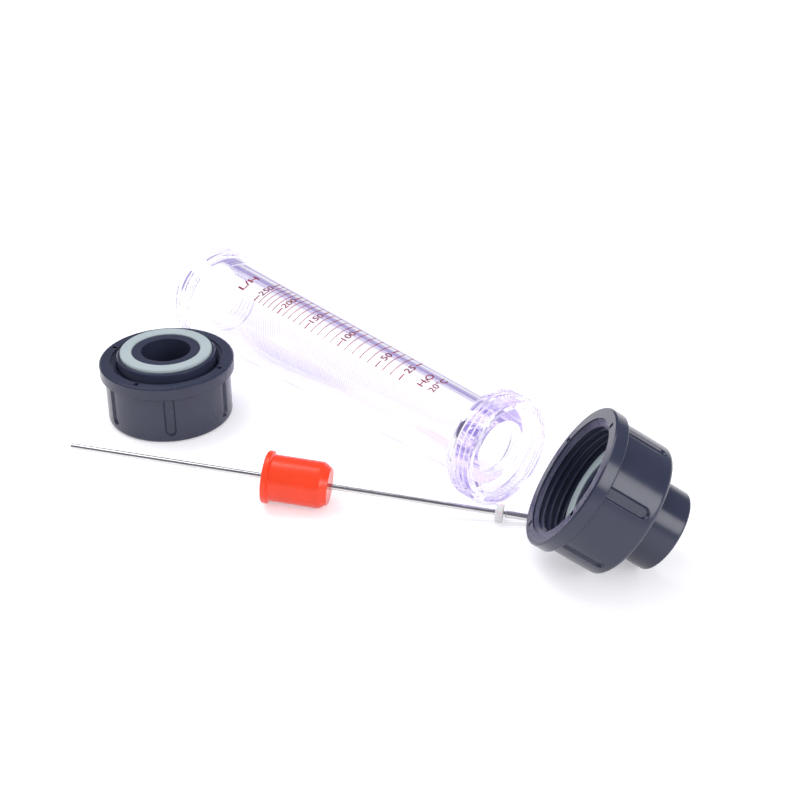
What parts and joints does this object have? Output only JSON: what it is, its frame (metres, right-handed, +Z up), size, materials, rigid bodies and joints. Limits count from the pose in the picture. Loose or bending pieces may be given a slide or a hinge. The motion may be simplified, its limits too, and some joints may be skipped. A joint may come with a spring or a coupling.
{
  "type": "rotameter",
  "caption": "Clear tapered-tube flow meter taken apart: threaded metering tube, float on its guide rod, union nuts, pipe end connectors and ring gaskets.",
  "frame": {"origin": "on the bench plane, under the middle of the laid-out set's bounding box", "axes": "+Z up from the bench; +X to the right and +Y to the rear as the set is laid out, with the scale's low end to the right front"},
  "size_m": [0.2072, 0.2002, 0.0524],
  "materials": {
    "clear_tube": "clear moulded plastic, polished",
    "rod_steel": "drawn stainless steel",
    "white_stop": "translucent soft plastic",
    "float_red": "moulded, satin",
    "grey_fitting": "moulded rigid plastic, satin",
    "gasket_rubber": "moulded soft ring"
  },
  "bodies": {
    "laid_out_set": {"metering_tube": "clear_tube", "guide_rod": "rod_steel", "rod_end_sleeve": "rod_steel", "rod_stop_disc": "white_stop", "upper_end_connector": "grey_fitting", "upper_gasket": "gasket_rubber", "lower_end_connector": "grey_fitting", "lower_gasket": "gasket_rubber"},
    "float": {"float": "float_red"},
    "upper_nut": {"upper_union_nut": "grey_fitting"},
    "lower_nut": {"lower_union_nut": "grey_fitting"}
  },
  "joints": [
    {"name": "float_slide", "type": "slide", "parent": "laid_out_set", "child": "float", "axis": [-0.9811, 0.1765, 0.079], "range_m": [-0.04, 0.0698]},
    {"name": "upper_nut_turn", "type": "hinge", "parent": "laid_out_set", "child": "upper_nut", "pos_m": [-0.07556, 0.02313, 0.012], "axis": [0, 0, 1], "continuous": true},
    {"name": "lower_nut_turn", "type": "hinge", "parent": "laid_out_set", "child": "lower_nut", "pos_m": [0.07518, -0.07563, 0.02518], "axis": [-0.8389, 0.0616, 0.5407], "continuous": true}
  ]
}
